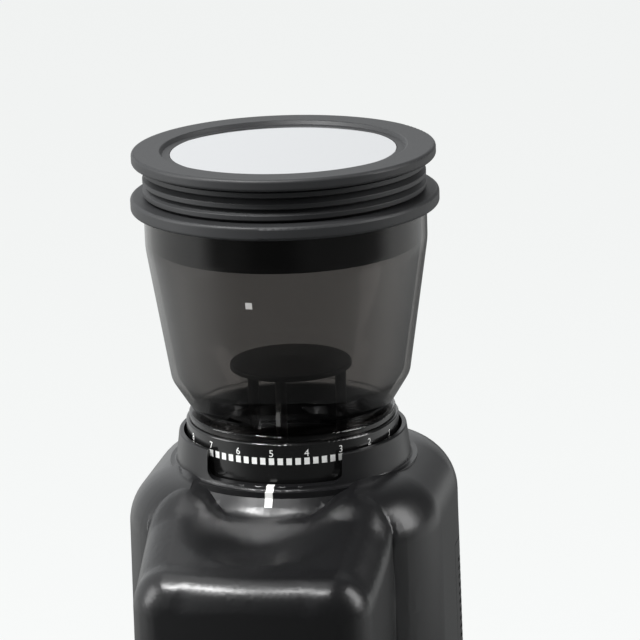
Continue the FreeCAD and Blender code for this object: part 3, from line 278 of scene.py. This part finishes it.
# Housing skin: the chute head's crests run down into its front edge, round a shallow bowl
HEAD_HALF = 48.5 * MM
HEAD_BACK = 45.0 * MM
HEAD_ROLL = 86.0 * MM
HEAD_FRONT = -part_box("main_housing")[0][1]
CREST_AT = 34.0 * MM
CREST_HIGH = 247.0 * MM
CREST_FALL = 0.36
BOWL_BACK = 49.0 * MM
BOWL_FRONT = 85.0 * MM
BOWL_DEPTH = 4.6 * MM
BOWL_CURVE = 14.0 * MM
COLLAR_EDGE = 51.0 * MM
COLLAR_BLEND = 7.0 * MM
BACK_BLEND = 14.0 * MM
FRONT_TAPER = 2.5 * MM
FRONT_BULGE = 5.0 * MM
FADE_LOW = 160.0 * MM
FADE_HIGH = 215.0 * MM
CUT_STEP = 3.0 * MM
SHARP = math.radians(28)
UPWARD = 0.3
WELD = 0.002 * MM
SPECK = 0.05 * MM
SLIVER = 0.5 * MM


def eased(value, low, high):
    share = min(1.0, max(0.0, (value - low) / (high - low)))
    return share * share * (3 - 2 * share)


def head_top(across, reach):
    """Height of the chute head: straight falling crests with a bowl between them."""
    crest = CREST_HIGH - CREST_FALL * (reach - HEAD_BACK)
    lip = BOWL_FRONT - BOWL_CURVE * (across / CREST_AT) ** 2
    share = min(1.0, max(0.0, (reach - BOWL_BACK) / (lip - BOWL_BACK)))
    middle = 1 - eased(abs(across), 0.0, CREST_AT)
    return crest - BOWL_DEPTH * middle * math.sin(math.pi * share)


def head_shift(solid, spot):
    """Move from a point of the straight-topped solid to its place on the chute head."""
    if abs(spot.x) > HEAD_HALF or -spot.y < HEAD_BACK:
        return Vector((0, 0, 0))
    across = max(-CREST_AT, min(CREST_AT, spot.x))
    reach = min(HEAD_ROLL, -spot.y)
    height = eased(spot.z, FADE_LOW, FADE_HIGH)
    share = eased(spot.xy.length, COLLAR_EDGE, COLLAR_EDGE + COLLAR_BLEND)
    share *= eased(-spot.y, HEAD_BACK, HEAD_BACK + BACK_BLEND)
    top = solid.ray_cast(Vector((across, -reach, LID_TOP)), Vector((0, 0, -1)))[0]
    towards_front = eased(-spot.y, HEAD_BACK, HEAD_FRONT)
    taper = FRONT_TAPER * towards_front * spot.x / HEAD_HALF
    bulge = FRONT_BULGE * towards_front * (spot.x / HEAD_HALF) ** 2
    return Vector((-taper, bulge, (head_top(across, reach) - top.z) * share * height))


def steps(low, high):
    count = math.ceil((high - low) / CUT_STEP)
    return [low + (high - low) * number / count for number in range(count + 1)]


def on_head(face):
    middle = face.calc_center_median()
    outside = abs(middle.x) < HEAD_HALF and middle.xy.length > COLLAR_EDGE and -middle.y > HEAD_BACK
    return outside and middle.z > FADE_HIGH and face.normal.z > UPWARD


def housing_skin():
    piece = copy_of("main_housing", "housing_skin")
    work = bmesh.new()
    work.from_mesh(piece.data)
    bmesh.ops.remove_doubles(work, verts=work.verts, dist=WELD)
    solid = BVHTree.FromBMesh(work)
    for edge in work.edges:
        edge.smooth = edge.calc_face_angle(0.0) < SHARP or all(on_head(f) for f in edge.link_faces)
    cuts = [(Vector((x, 0, 0)), Vector((1, 0, 0))) for x in steps(-HEAD_HALF, HEAD_HALF)]
    cuts += [(Vector((0, -y, 0)), Vector((0, 1, 0))) for y in steps(HEAD_BACK, HEAD_FRONT)]
    cuts += [(Vector((0, 0, z)), Vector((0, 0, 1))) for z in steps(FADE_LOW, FADE_HIGH)]
    for spot, normal in cuts:
        head = [f for f in work.faces if any(-v.co.y > HEAD_BACK and v.co.z > FADE_LOW for v in f.verts)]
        edges = {e for f in head for e in f.edges}
        corners = {v for f in head for v in f.verts}
        bmesh.ops.bisect_plane(work, geom=head + list(edges) + list(corners), plane_co=spot, plane_no=normal)
    shaped = [v for v in work.verts if v.co.z > FADE_LOW and -v.co.y > HEAD_BACK]
    slivers = [v for v in shaped if v.co.xy.length > COLLAR_EDGE + COLLAR_BLEND / 2]
    bmesh.ops.remove_doubles(work, verts=slivers, dist=SLIVER)
    bmesh.ops.dissolve_degenerate(work, dist=SPECK, edges=work.edges)
    for corner in work.verts:
        corner.co += head_shift(solid, corner.co)
    bmesh.ops.triangulate(work, faces=work.faces)
    for face in work.faces:
        face.smooth = True
    work.to_mesh(piece.data)
    work.free()
    even = piece.modifiers.new("even shading", "WEIGHTED_NORMAL")
    even.keep_sharp = True
    return piece


skin = housing_skin()
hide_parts("main_housing")
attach(skin, "housing")

# The ribbed rubber wall, which on the grinder shortens as the cap is pressed, gets a mesh of its own and
# goes with the lid
bellows = copy_of("lid_bellows", "bellows_wall")
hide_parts("lid_bellows")
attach(bellows, "lid")
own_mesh(bellows)

# Studio: a pale sweep all round, which reflections find darker in front of the object and close to it
FLOOR_SIZE = 14.0
PALE_STRENGTH = 1.0
ROOM_STRENGTH = 0.10
FLOOR_HEADING = (-0.35, 0.94, 0.0)
FLOOR_DARK_AT = -0.6
FLOOR_PALE_AT = -0.05
ROOM_HEADING = (-0.95, 0.31, 0.0)
ROOM_DARK_AT = -0.35
ROOM_PALE_AT = 0.7
GLOW_COLOR = (0.985, 1.0, 0.992, 1.0)
GLOW_SHARE = 0.85
REFLECTED_NEAR = 0.3
REFLECTED_FAR = 0.7
REFLECTED_LEAST = 0.12


def pale_towards(tree, coordinate, heading, dark_at, pale_at):
    """Value that climbs from the room's level to the sweep's along a level heading."""
    place = tree.nodes.new("ShaderNodeTexCoord")
    along = tree.nodes.new("ShaderNodeVectorMath")
    along.operation = "DOT_PRODUCT"
    along.inputs[1].default_value = heading
    level = tree.nodes.new("ShaderNodeMapRange")
    level.interpolation_type = "SMOOTHSTEP"
    level.inputs["From Min"].default_value = dark_at
    level.inputs["From Max"].default_value = pale_at
    level.inputs["To Min"].default_value = ROOM_STRENGTH
    level.inputs["To Max"].default_value = PALE_STRENGTH
    tree.links.new(place.outputs[coordinate], along.inputs[0])
    tree.links.new(along.outputs["Value"], level.inputs["Value"])
    return level.outputs["Result"]


def sweep_paint():
    """Pale to the camera and through glass, dimmer in reflections; plain matt paint to other light."""
    material = finish("pale sweep", (0.5, 0.51, 0.51), 0.9, specular=0.0)
    tree = material.node_tree
    glow = tree.nodes.new("ShaderNodeEmission")
    glow.inputs["Color"].default_value = GLOW_COLOR
    path = tree.nodes.new("ShaderNodeLightPath")
    place = tree.nodes.new("ShaderNodeTexCoord")
    split = tree.nodes.new("ShaderNodeSeparateXYZ")
    tree.links.new(place.outputs["Object"], split.inputs[0])
    aside = arithmetic(tree, "ABSOLUTE", split.outputs["X"])
    far = map_range(tree, aside, REFLECTED_LEAST, 1.0, REFLECTED_NEAR, REFLECTED_FAR)
    level = pale_towards(tree, "Object", FLOOR_HEADING, FLOOR_DARK_AT, FLOOR_PALE_AT)
    change = arithmetic(tree, "MULTIPLY_ADD", far, level, -1.0)
    strength = arithmetic(tree, "MULTIPLY_ADD", change, path.outputs["Is Glossy Ray"], 1.0)
    tree.links.new(strength, glow.inputs["Strength"])
    seen = arithmetic(tree, "MAXIMUM", path.outputs["Is Camera Ray"], path.outputs["Is Glossy Ray"])
    seen = arithmetic(tree, "MAXIMUM", seen, path.outputs["Is Transmission Ray"])
    mix = tree.nodes.new("ShaderNodeMixShader")
    tree.links.new(map_range(tree, seen, 0.0, GLOW_SHARE), mix.inputs[0])
    tree.links.new(tree.nodes["Principled BSDF"].outputs[0], mix.inputs[1])
    tree.links.new(glow.outputs[0], mix.inputs[2])
    tree.links.new(mix.outputs[0], tree.nodes["Material Output"].inputs["Surface"])
    return material


half = FLOOR_SIZE / 2
floor = mesh_piece("floor", [(-half, -half, 0), (half, -half, 0), (half, half, 0), (-half, half, 0)],
                   [(0, 1, 2, 3)], sweep_paint())

world = bpy.data.worlds.new("studio")
bpy.context.scene.world = world
world.use_nodes = True
backdrop = world.node_tree.nodes["Background"]
backdrop.inputs["Color"].default_value = (0.97, 0.99, 1.0, 1.0)
room = pale_towards(world.node_tree, "Generated", ROOM_HEADING, ROOM_DARK_AT, ROOM_PALE_AT)
world.node_tree.links.new(room, backdrop.inputs["Strength"])


def softbox(name, spot, aim, width, height, power):
    lamp = bpy.data.lights.new(name, "AREA")
    lamp.shape = "RECTANGLE"
    lamp.size = width
    lamp.size_y = height
    lamp.energy = power
    holder = bpy.data.objects.new(name, lamp)
    bpy.context.scene.collection.objects.link(holder)
    holder.location = spot
    holder.rotation_euler = (Vector(aim) - Vector(spot)).to_track_quat("-Z", "Y").to_euler()
    return holder


AIM = (0.0, 0.0, 0.25)
softbox("top softbox", (-0.35, 0.10, 1.55), AIM, 0.9, 0.7, 2.5)
softbox("left softbox", (-1.5, -0.5, 0.75), AIM, 0.7, 1.1, 16.0)
softbox("right softbox", (1.35, 0.15, 0.85), AIM, 0.45, 1.1, 14.0)
HEAD = (0.0, -0.095, 0.23)
softbox("left spot", (-0.32, -0.37, 1.03), HEAD, 0.10, 0.14, 8.0)
softbox("right spot", (0.0, -0.40, 1.08), HEAD, 0.08, 0.10, 3.0)

# Camera, from the fitted view of the photograph
PHOTO_SIDE = 640.0
FOCAL_PIXELS = 3250.0
SENSOR = 36.0
AZIMUTH = math.radians(12.0)
ELEVATION = math.radians(13.15)
ROLL = math.radians(-2.02)
DISTANCE = 1.26187
FLANGE_PIXEL = (284.66, 190.25)

back = Vector((math.sin(AZIMUTH) * math.cos(ELEVATION), -math.cos(AZIMUTH) * math.cos(ELEVATION),
               math.sin(ELEVATION)))
ahead = -back
right = ahead.cross(Vector((0, 0, 1))).normalized()
up = right.cross(ahead)
image_right = right * math.cos(ROLL) + up * math.sin(ROLL)
image_up = up * math.cos(ROLL) - right * math.sin(ROLL)
across = (PHOTO_SIDE / 2 - FLANGE_PIXEL[0]) / FOCAL_PIXELS
down = (PHOTO_SIDE / 2 - FLANGE_PIXEL[1]) / FOCAL_PIXELS
look = (ahead + image_right * across - image_up * down).normalized()
side = (image_right - look * image_right.dot(look)).normalized()
over = side.cross(look)

camera_data = bpy.data.cameras.new("photo camera")
camera_data.sensor_width = SENSOR
camera_data.lens = FOCAL_PIXELS / PHOTO_SIDE * SENSOR
camera_data.clip_end = 100.0
camera = bpy.data.objects.new("photo camera", camera_data)
bpy.context.scene.collection.objects.link(camera)
turn = Matrix((side, over, -look)).transposed().to_4x4()
camera.matrix_world = Matrix.Translation(Vector((0, 0, LID_TOP)) + back * DISTANCE) @ turn
bpy.context.scene.camera = camera
bpy.context.scene.view_settings.view_transform = "Standard"
